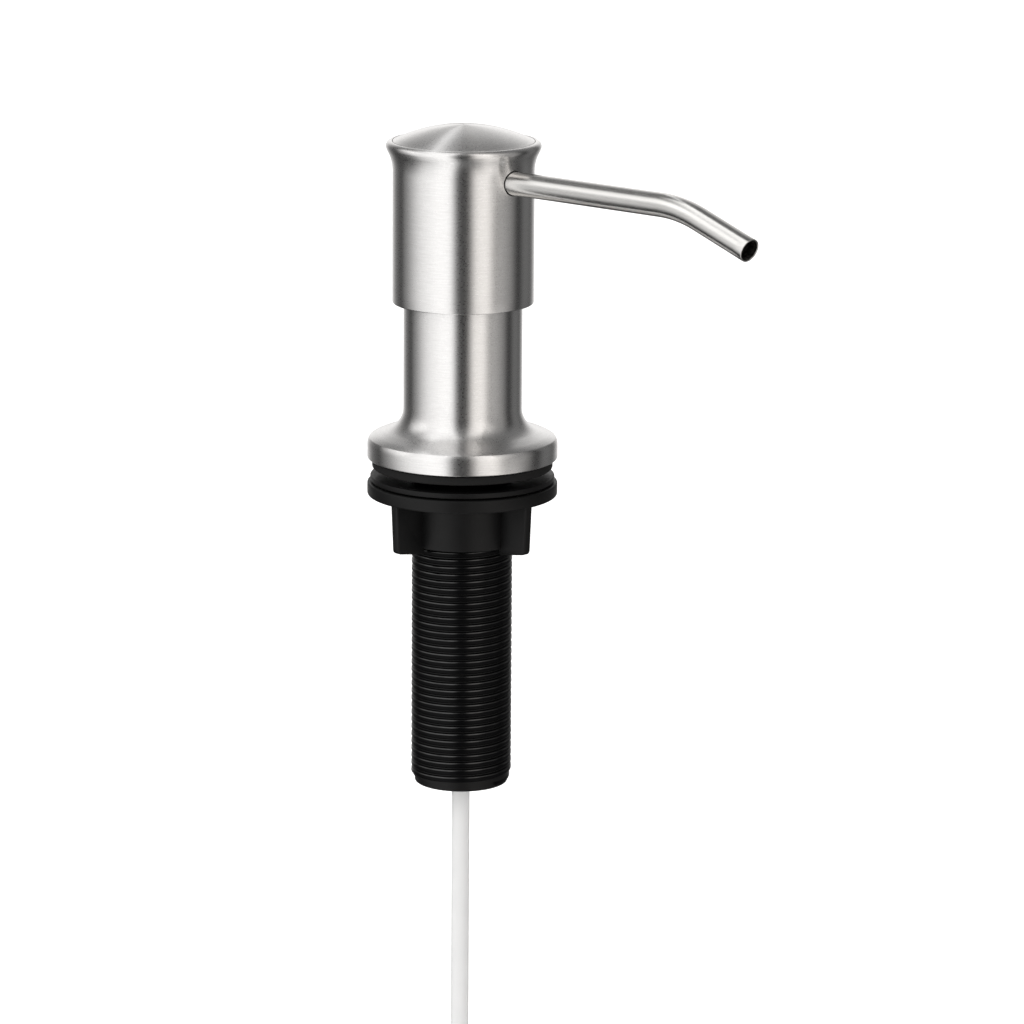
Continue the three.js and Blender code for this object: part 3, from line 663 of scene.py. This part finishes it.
def hank_route():
    """Points of the wound tube as (across, deep, high), from the lead's end to the foot valve.

    An S-bend brings the lead over to the first run. The turns follow, a pitch apart, and the tail.
    """
    fold = math.pi * HANK_FOLD_RADIUS
    round_trip = 2 * (fold + HANK_STRAIGHT)
    swing = math.acos(1 - HANK_FOLD_RADIUS / (2 * LEAD_BEND_RADIUS))
    lead_drop = 2 * LEAD_BEND_RADIUS * math.sin(swing)
    first = -HANK_SIDE + HANK_LEAD_OFFSET
    run_in = HANK_TOP - lead_drop - HANK_LOWER
    joins_at = first - HANK_PITCH * run_in / round_trip
    route = []
    for k in range(1, LEAD_STEPS + 1):
        along = k / LEAD_STEPS
        angle = swing * (2 * along if along < 0.5 else 2 - 2 * along)
        bow = LEAD_BEND_RADIUS * (1 - math.cos(angle))
        across = -bow if along < 0.5 else bow - HANK_FOLD_RADIUS
        fall = LEAD_BEND_RADIUS * math.sin(angle)
        down = fall if along < 0.5 else lead_drop - fall
        deep = -HANK_SIDE + (joins_at + HANK_SIDE) * along
        route.append((across, deep, HANK_TOP - down))

    def at(distance):
        """The point that far along the turns, from the foot of the first run."""
        radius = HANK_FOLD_RADIUS
        deep = first + HANK_PITCH * distance / round_trip
        s = distance % round_trip
        if s < fold:
            a = math.pi + s / radius
            return (radius * math.cos(a), deep, HANK_LOWER + radius * math.sin(a))
        if s < fold + HANK_STRAIGHT:
            return (radius, deep, HANK_LOWER + s - fold)
        if s < 2 * fold + HANK_STRAIGHT:
            a = (s - fold - HANK_STRAIGHT) / radius
            return (radius * math.cos(a), deep, HANK_UPPER + radius * math.sin(a))
        return (-radius, deep, HANK_UPPER - (s - 2 * fold - HANK_STRAIGHT))

    steps = int((run_in + HANK_TURNS * round_trip) / STEP)
    for k in range(1, steps + 1):
        distance = -run_in + (run_in + HANK_TURNS * round_trip) * k / steps
        if distance < 0:
            deep = first + HANK_PITCH * distance / round_trip
            route.append((-HANK_FOLD_RADIUS, deep, HANK_LOWER - distance))
        elif k < steps:
            route.append(at(distance))
    tail_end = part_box("suction_tube_tail")[0].z
    for k in range(TAIL_STEPS + 1):
        height = HANK_LOWER + (tail_end - HANK_LOWER) * k / TAIL_STEPS
        route.append((-HANK_FOLD_RADIUS, HANK_SIDE, height))
    return route


def make_suction_tube(materials):
    """The whole tube as one curve, from the pump's socket through the hank to the foot valve."""
    lead = [Vector((0, deep * MM, high * MM)) for deep, high in TUBE_ROUTE]
    lead.append(Vector((0, -HANK_SIDE, HANK_TOP)))
    points = centripetal(lead) + [Vector(p) for p in hank_route()]
    turn = Matrix.Rotation(HANK_TURN, 3, "Z")
    data = bpy.data.curves.new("suction_tube_line", "CURVE")
    data.dimensions = "3D"
    data.bevel_depth = TUBE_RADIUS
    data.bevel_resolution = 6
    data.use_fill_caps = True
    spline = data.splines.new("POLY")
    spline.points.add(len(points) - 1)
    for target, p in zip(spline.points, points):
        target.co = (*(turn @ p), 1.0)
    spline.use_smooth = True
    tube = bpy.data.objects.new("suction_tube_line", data)
    bpy.context.scene.collection.objects.link(tube)
    show(tube, materials["tube"], "deck_set", "clear_tube",
         "suction_tube", "tube_hank", "suction_tube_tail")
    return tube


def make_tie(materials):
    """A nylon tie round the waist of the hank: a band with a ratchet head and a short end."""
    low, high = heights_of("tube_tie")
    reach = HANK_FOLD_RADIUS + TUBE_RADIUS
    depth = HANK_SIDE + TUBE_RADIUS
    middle = (low + high) / 2
    centre_x = reach - TIE.corner + TIE.clear
    centre_y = depth - TIE.corner + TIE.clear
    centres = [(centre_x, centre_y), (-centre_x, centre_y), (-centre_x, -centre_y),
               (centre_x, -centre_y)]
    turn = Matrix.Rotation(HANK_TURN, 3, "Z")
    half = TIE.half_width
    sides = [(0, -half), (TIE.thick, -half), (TIE.thick, half), (0, half)]
    section = rounded([(*side, TIE.edge_round) for side in sides], BEVEL_STEPS)
    bm = bmesh.new()
    rings = []
    for quarter, (cx, cy) in enumerate(centres):
        for k in range(TIE_CORNER_STEPS + 1):
            a = math.pi / 2 * (quarter + k / TIE_CORNER_STEPS)
            outward = Vector((math.cos(a), math.sin(a), 0))
            base = Vector((cx, cy, middle)) + outward * TIE.corner
            rings.append([bm.verts.new(turn @ (base + outward * s.x + Vector((0, 0, s.y))))
                          for s in section])
    skin_rings(bm, rings, closed=True)
    band = object_from(bm, "tie_band", SMOOTH_ANGLE)
    show(band, materials["white"], "deck_set", "white_plastic", "tube_tie")
    pieces = [band]
    for name, block, lean in (("tie_head", TIE_HEAD, 0), ("tie_end", TIE_END, TIE_END_LEAN)):
        piece = bevelled_block(name, block)
        out = -depth - TIE.clear - TIE.thick - block.stands_off
        piece.data.transform(Matrix.Rotation(lean, 4, "Z"))
        piece.data.transform(Matrix.Translation((block.shift, out, middle)))
        piece.data.transform(turn.to_4x4())
        show(piece, materials["white"], "deck_set", "white_plastic")
        pieces.append(piece)
    return pieces


def bevelled_block(name, block):
    bm = bmesh.new()
    bmesh.ops.create_cube(bm, size=1.0)
    bmesh.ops.scale(bm, vec=(block.along, block.deep, block.high), verts=bm.verts)
    bmesh.ops.bevel(bm, geom=bm.edges[:], offset=block.bevel, segments=BEVEL_STEPS, profile=0.5,
                    affect="EDGES")
    return object_from(bm, name, SMOOTH_ANGLE)


def make_foot_valve(materials):
    """Cap with its boss, waisted body, and the strainer under it."""
    low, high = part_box("foot_valve_cap")
    centre = ((low.x + high.x) / 2, (low.y + high.y) / 2)
    radius = radius_of("foot_valve_cap")
    shoulder = high.z - FOOT.boss_height
    socket = high.z - FOOT.socket_depth
    cap = turned("foot_cap", rounded([
        (FOOT.channel, low.z, 0),
        (radius, low.z, FOOT.fine_round),
        (radius, shoulder, FOOT.large_round),
        (FOOT.boss, shoulder, FOOT.boss_round),
        (FOOT.boss, high.z, FOOT.boss_round),
        (FOOT.socket, high.z, FOOT.small_round),
        (FOOT.socket, socket, 0),
        (FOOT.channel, socket, 0),
    ]), MEDIUM_ROUND, centre)
    show(cap, materials["black"], "deck_set", "black_plastic", "foot_valve_cap")
    bottom, top = heights_of("foot_valve_body")
    waist = radius - FOOT.waist
    recess = bottom + FOOT.recess_depth
    body = turned("foot_body", rounded([
        (FOOT.recess, bottom, FOOT.edge_round),
        (radius, bottom, FOOT.large_round),
        (radius, bottom + FOOT.skirt, FOOT.small_round),
        (waist, bottom + FOOT.skirt + FOOT.skirt_fall, FOOT.small_round),
        (waist, top - FOOT.band - FOOT.band_fall, FOOT.small_round),
        (radius, top - FOOT.band, FOOT.edge_round),
        (radius, top, FOOT.edge_round),
        (FOOT.chamber, top, 0),
        (FOOT.chamber, top - FOOT.cone_top, 0),
        (FOOT.seat, top - FOOT.seat_top, 0),
        (FOOT.seat, recess, 0),
        (FOOT.recess, recess, 0),
    ]), MEDIUM_ROUND, centre)
    show(body, materials["black"], "deck_set", "black_plastic", "foot_valve_body")
    return [cap, body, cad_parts["foot_strainer"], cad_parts["foot_valve_ball"]]


# ---- Steel pieces ----

def make_collar(materials):
    """Neck and flange, from the foot's outside up over the edge and the slope to the neck."""
    low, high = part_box("deck_collar")
    flange, neck, bore = high.x, COLLAR.neck, COLLAR.bore
    slope_end = math.pi / 2 - COLLAR_SLOPE
    crease_start, crease_end = COLLAR_CREASE
    edge = arc(flange - COLLAR.edge, COLLAR.edge_height, COLLAR.edge, 0, crease_start, 8)
    edge += arc_on(edge[-1], COLLAR.crease, crease_start, crease_end, 3)
    edge += arc_on(edge[-1], COLLAR.crown, crease_end, slope_end, 8)
    fillet_end = math.pi + slope_end
    foot_r = neck + COLLAR.fillet * (1 + math.cos(fillet_end))
    foot_z = edge[-1].y + (edge[-1].x - foot_r) * math.tan(COLLAR_SLOPE)
    fillet_z = foot_z - COLLAR.fillet * math.sin(fillet_end)
    sweep = arc(neck + COLLAR.fillet, fillet_z, COLLAR.fillet, fillet_end, math.pi, 14)
    middle = (low.z + high.z) / 2
    lower = rounded([
        (bore, low.z, COLLAR.bore_round), (flange, low.z, COLLAR.foot_round), (flange, middle, 0),
    ])[:-1]
    upper = rounded([
        (neck, middle, 0), (neck, high.z, COLLAR.neck_round), (bore, high.z, COLLAR.bore_round),
        (bore, middle, 0),
    ])[1:]
    run = [Vector((neck, sweep[-1].y + (high.z - sweep[-1].y) * k / 12)) for k in range(1, 12)]
    collar = turned("collar", lower + edge + sweep + run + upper)
    show(collar, materials["steel"], "deck_set", "brushed_metal", "deck_collar")


def flare(inset, top, steps=12):
    """The flared top of the shell, inset from its outer face, up to a height."""
    result = []
    for k in range(steps + 1):
        rise = (top - SHELL.flare_start) * k / steps
        bow = SHELL.flare - math.sqrt(SHELL.flare ** 2 - rise ** 2)
        result.append(Vector((SHELL.skirt + bow - inset, SHELL.flare_start + rise)))
    return result


def make_head_shell(materials):
    """The skirt with its flared rim, the cap's seat inside the rim, and the spout's hole."""
    low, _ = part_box("head_shell")
    outer, inner = SHELL.skirt, SHELL.skirt - SHELL.wall
    start = SHELL.flare_start
    lip = rounded([
        (inner, start, 0), (inner, low.z, SHELL.lip_round), (outer, low.z, SHELL.lip_round),
        (outer, start, 0),
    ])[1:-1]
    run = [Vector((outer, low.z + (start - low.z) * k / 10)) for k in range(1, 10)]
    rim = arc(SHELL.rim_centre, SHELL.rim_height, SHELL.rim, RIM_START, RIM_END, 16)
    turn_in = SHELL.turn_in
    rim += arc(SHELL.seat + turn_in, rim[-1].y - turn_in, turn_in, math.pi * 0.6, math.pi, 3)
    seat = [Vector((SHELL.seat, SHELL.seat_height))]
    inside = flare(SHELL.wall, SHELL.seat_height - SHELL.wall)[::-1]
    shell = turned("shell", lip + run + flare(0, SHELL.flare_end) + rim + seat + inside)
    combine_with(shell, spout_hole_cutter(), "DIFFERENCE")
    soften_object(shell, SMOOTH_ANGLE)
    show(shell, materials["steel"], "head", "brushed_metal", "head_shell")


def spout_hole_cutter():
    """A cylinder along the spout's axis, for cutting its hole."""
    bm = bmesh.new()
    bmesh.ops.create_cone(bm, cap_ends=True, segments=SMALL_ROUND, radius1=SPOUT.hole,
                          radius2=SPOUT.hole, depth=SPOUT.hole_to - SPOUT.hole_from)
    place = Matrix.Translation(SPOUT_ROOT) @ Matrix.Rotation(-SPOUT_RISE, 4, "Y")
    middle = (SPOUT.hole_from + SPOUT.hole_to) / 2
    centre = Matrix.Translation((middle - SPOUT_ROOT.x, 0, 0))
    lying = Matrix.Rotation(math.pi / 2, 4, "Y")
    bmesh.ops.transform(bm, verts=bm.verts, matrix=place @ centre @ lying)
    return object_from(bm, "spout_hole")


def spout_line():
    """Points and directions along the middle of the spout."""
    up = Vector((math.cos(SPOUT_RISE), 0, math.sin(SPOUT_RISE)))
    run = (SPOUT.bend_start - SPOUT_ROOT.x) / up.x
    points = [(SPOUT_ROOT + up * run * k / 10, SPOUT_RISE) for k in range(10)]
    start = SPOUT_ROOT + up * run
    centre = start + Vector((up.z, 0, -up.x)) * SPOUT.bend
    for k in range(13):
        pitch = SPOUT_RISE - SPOUT_BEND * k / 12
        outward = Vector((-math.sin(pitch), 0, math.cos(pitch)))
        points.append((centre + outward * SPOUT.bend, pitch))
    last, pitch = points[-1]
    down = Vector((math.cos(pitch), 0, math.sin(pitch)))
    tip_run = (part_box("spout_tube")[1].x - last.x) / down.x
    tip_run -= SPOUT.outer * abs(math.sin(pitch)) / down.x
    points += [(last + down * tip_run * k / 6, pitch) for k in range(1, 7)]
    return points


def make_spout(materials):
    """A bent tube: along its outside to the tip, round the lip, and back along the bore."""
    outer, inner, lip = SPOUT.outer, SPOUT.inner, SPOUT.lip
    line = spout_line()
    sections = [(p, pitch, outer) for p, pitch in line[:-1]]
    tip, pitch = line[-1]
    down = Vector((math.cos(pitch), 0, math.sin(pitch)))
    angles = [math.pi / 2 * k / 4 for k in range(5)]
    for a in angles:
        radius = outer - lip + lip * math.cos(a)
        sections.append((tip + down * lip * (math.sin(a) - 1), pitch, radius))
    for a in angles:
        radius = inner + lip - lip * math.sin(a)
        sections.append((tip + down * lip * (math.cos(a) - 1), pitch, radius))
    outside = len(sections)
    sections += [(p, pitch, inner) for p, pitch in line[-2::-1]]
    bm = bmesh.new()
    rings = []
    for p, pitch, radius in sections:
        normal = Vector((-math.sin(pitch), 0, math.cos(pitch)))
        side = Vector((0, 1, 0))
        rings.append([
            bm.verts.new(p + normal * radius * math.cos(a) + side * radius * math.sin(a))
            for a in (TAU * i / SPOUT_SIDES for i in range(SPOUT_SIDES))
        ])
    skin_rings(bm, rings, closed=True)
    inner_verts = {v for ring in rings[outside:] for v in ring}
    for face in bm.faces:
        face.material_index = int(all(v in inner_verts for v in face.verts))
    spout = object_from(bm, "spout", 50)
    spout.data.materials.append(materials["spout"])
    # the bore's faces get the near-black painted shade
    spout.data.materials.append(materials["bore"])
    show(spout, materials["spout"], "head", "brushed_metal", "spout_tube")


def make_cap(materials):
    """The domed lid, hollow underneath, a seam's width inside the rim."""
    low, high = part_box("dome_cap")
    radius = SHELL.seat - CAP.seam
    centre = high.z - CAP.dome
    edge = radius - CAP.edge
    swing = math.asin(edge / CAP.dome)
    crown = arc(0, centre, CAP.dome, math.pi / 2 - swing, math.pi / 2, 28)
    crown[-1].x = 0.0
    edge_height = crown[0].y
    hollow = high.z - CAP.wall
    plug = CAP.plug - CAP.wall
    shoulder = rounded([
        (plug, low.z, 0), (radius, low.z, CAP.foot_round), (radius, edge_height, CAP.edge),
        (edge - CAP.edge, edge_height + CAP.edge * math.tan(swing), 0),
    ])
    outline = [Vector((0, hollow)), Vector((plug, hollow - plug ** 2 / (2 * CAP.dome))),
               *shoulder[:-1], *crown[1:]]
    cap = turned("cap", outline)
    show(cap, materials["steel"], "head", "brushed_metal", "dome_cap")


# ---- Black pieces ----

def flat_ring(name, node, sizes):
    """A flat ring in the place of a CAD node, its bore and its edges rounded."""
    low, high = heights_of(node)
    r = radius_of(node)
    return turned(name, rounded([
        (sizes.bore, low, sizes.bore_round), (r, low, sizes.edge_round),
        (r, high, sizes.edge_round), (sizes.bore, high, sizes.bore_round),
    ]))


def make_rings(materials):
    gasket = flat_ring("gasket", "deck_gasket", GASKET)
    show(gasket, materials["rubber"], "deck_set", "black_rubber", "deck_gasket")
    washer = flat_ring("washer", "clamp_washer", WASHER)
    show(washer, materials["black"], "washer", "black_plastic", "clamp_washer")


def fin_piece(index):
    """One fin of the nut as a bevelled plate, its outer corner rounded."""
    top = NUT.flange_bottom + NUT.fin_sunk
    size = NUT.fin_corner
    corner = arc(NUT.fin_bottom_reach - size, NUT.fin_tip + size, size, -math.pi / 2, 0, 6)
    outline = [Vector((NUT.fin_inside, top)), Vector((NUT.fin_inside, NUT.fin_root)),
               Vector((NUT.barrel, NUT.fin_root)), *corner, Vector((NUT.fin_top_reach, top))]
    bm = bmesh.new()
    front = [bm.verts.new((p.x, -NUT.fin_half, p.y)) for p in outline]
    back = [bm.verts.new((p.x, NUT.fin_half, p.y)) for p in outline]
    bm.faces.new(front)
    bm.faces.new(back[::-1])
    for i in range(len(outline)):
        j = (i + 1) % len(outline)
        bm.faces.new([front[j], front[i], back[i], back[j]])
    bmesh.ops.recalc_face_normals(bm, faces=bm.faces)
    rims = [e for e in bm.edges if abs(e.verts[0].co.y - e.verts[1].co.y) < NUT.fin_half]
    bmesh.ops.bevel(bm, geom=rims, offset=NUT.fin_bevel, segments=BEVEL_STEPS, profile=0.5,
                    affect="EDGES")
    quarter = Matrix.Rotation(TAU * index / FINS, 3, "Z")
    bmesh.ops.rotate(bm, verts=bm.verts, cent=(0, 0, 0), matrix=quarter)
    return object_from(bm, f"fin_{index}")


def make_nut(materials):
    """The barrel with its flange, and the fins joined on."""
    _, top = heights_of("wing_nut")
    r = radius_of("wing_nut")
    nut = turned("nut", rounded([
        (NUT.bore, NUT.bottom, NUT.bore_round), (NUT.barrel, NUT.bottom, NUT.edge_round),
        (NUT.barrel, NUT.flange_bottom, NUT.root_round), (r, NUT.flange_bottom, NUT.edge_round),
        (r, top, NUT.edge_round), (NUT.bore, top, NUT.bore_round),
    ]))
    for index in range(FINS):
        combine_with(nut, fin_piece(index), "UNION")
    soften_object(nut, NUT_SMOOTH_ANGLE)
    show(nut, materials["black"], "nut", "black_plastic", "wing_nut")


def make_shank(materials):
    """The core with its plain end and shoulder."""
    bottom, top = heights_of("threaded_shank")
    shoulder = radius_of("threaded_shank")
    core = SHANK.crest - THREAD.depth
    shank = turned("shank_core", rounded([
        (SHANK.bore, bottom, SHANK.bore_round), (SHANK.end, bottom, SHANK.edge_round),
        (SHANK.end, SHANK.thread_bottom, 0), (core, SHANK.thread_bottom + SHANK.runout, 0),
        (core, SHANK.shoulder_bottom, 0),
        (shoulder, SHANK.shoulder_bottom, SHANK.shoulder_round),
        (shoulder, top, SHANK.top_round), (SHANK.bore, top, SHANK.top_round),
    ]))
    show(shank, materials["black"], "deck_set", "black_plastic", "threaded_shank")


def make_thread(materials):
    """The thread as a ridge wound round the shank's core, running out at both ends."""
    sunk = SHANK.crest - THREAD.depth - THREAD.sunk
    half_root = THREAD.root / 2 + THREAD.root_spread
    outline = rounded([
        (sunk, -half_root, 0), (SHANK.crest, -THREAD.land / 2, THREAD.crest_edge),
        (SHANK.crest, THREAD.land / 2, THREAD.crest_edge), (sunk, half_root, 0),
    ], 4)
    start = SHANK.thread_bottom
    turns = (SHANK.thread_top - start - half_root) / THREAD.pitch
    steps = int(turns * THREAD_SIDES)
    bm = bmesh.new()
    rings = []
    for k in range(steps + 1):
        a = TAU * k / THREAD_SIDES
        rise = max(min(1.0, k / THREAD_RUN_OUT, (steps - k) / THREAD_RUN_OUT), THREAD_LOWEST)
        z = start + THREAD.pitch * k / THREAD_SIDES
        ring = []
        for p in outline:
            radius = sunk + (p.x - sunk) * rise
            ring.append(bm.verts.new((radius * math.cos(a), radius * math.sin(a), z + p.y)))
        rings.append(ring)
    skin_rings(bm, rings, closed=False)
    close_ends(bm, rings)
    thread = object_from(bm, "shank_thread", 30)
    show(thread, materials["thread"], "deck_set", "black_plastic")


def make_return_spring(materials):
    """The pump's spring, its end turns closed."""
    bottom, top = heights_of("return_spring")
    low, high = bottom + SPRING.wire, top - SPRING.wire
    closed = SPRING.closed_rise
    climb = (high - low - 2 * closed) / (SPRING_TURNS - 2)
    bm = bmesh.new()
    rings = []
    for k in range(SPRING_TURNS * SPRING_STEPS + 1):
        turns = k / SPRING_STEPS
        a = TAU * turns
        z = low + closed * min(turns, 1) + climb * min(max(turns - 1, 0), SPRING_TURNS - 2)
        z += closed * max(turns - SPRING_TURNS + 1, 0)
        outward = Vector((math.cos(a), math.sin(a), 0))
        centre = outward * SPRING.coil + Vector((0, 0, z))
        ring = []
        for i in range(SPRING_SIDES):
            b = TAU * i / SPRING_SIDES
            spoke = outward * math.cos(b) + Vector((0, 0, math.sin(b)))
            ring.append(bm.verts.new(centre + SPRING.wire * spoke))
        rings.append(ring)
    skin_rings(bm, rings, closed=False)
    close_ends(bm, rings)
    spring = object_from(bm, "spring_coil", SMOOTH_ANGLE)
    show(spring, materials["spout"], "deck_set", "spring_wire", "return_spring")
    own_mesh(spring)


def dress_inner_pieces(materials):
    """The CAD pieces that keep their shape get their materials."""
    looks = {
        "black": ["head_insert", "pump_closure"],
        "rubber": ["closure_gasket", "spout_seal", "piston_seal"],
        "white": ["pump_housing", "pump_stem", "piston", "ball_cage", "foot_strainer"],
        "spout": ["inlet_ball", "outlet_ball", "foot_valve_ball"],
    }
    for look, names in looks.items():
        for name in names:
            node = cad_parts[name]
            node.data.materials.clear()
            node.data.materials.append(materials[look])


def make_materials():
    black = moulded("black_plastic", (0.0025, 0.0025, 0.0026), (0.0045, 0.0045, 0.0046),
                    0.36, 0.5, 2600.0, 0.02 * MM, 0.2)[0]
    rubber = moulded("black_rubber", (0.004, 0.004, 0.004), (0.007, 0.0069, 0.0068),
                     0.6, 0.8, 3800.0, 0.03 * MM, 0.25)[0]
    white, _, shader = moulded("white_plastic", (0.76, 0.75, 0.71), (0.82, 0.81, 0.78),
                               0.35, 0.5, 2000.0, 0.015 * MM)
    shader.inputs["Subsurface Weight"].default_value = 0.2
    shader.inputs["Subsurface Scale"].default_value = 1.5 * MM
    return {
        "steel": brushed_steel(), "spout": spout_steel(), "bore": bore_painted_shade(), "black": black,
        "thread": thread_plastic(), "rubber": rubber, "white": white, "tube": clear_tube(),
    }


# ---- Making it, the camera and the cord first ----

make_camera()
looks = make_materials()
suction_tube = make_suction_tube(looks)
tie_pieces = make_tie(looks)
foot_pieces = make_foot_valve(looks)

make_world()
make_floor()
make_lamp()
make_collar(looks)
make_head_shell(looks)
make_cap(looks)
make_spout(looks)
make_rings(looks)
make_nut(looks)
make_shank(looks)
make_thread(looks)
make_return_spring(looks)
dress_inner_pieces(looks)
bpy.context.scene.view_settings.view_transform = "Standard"
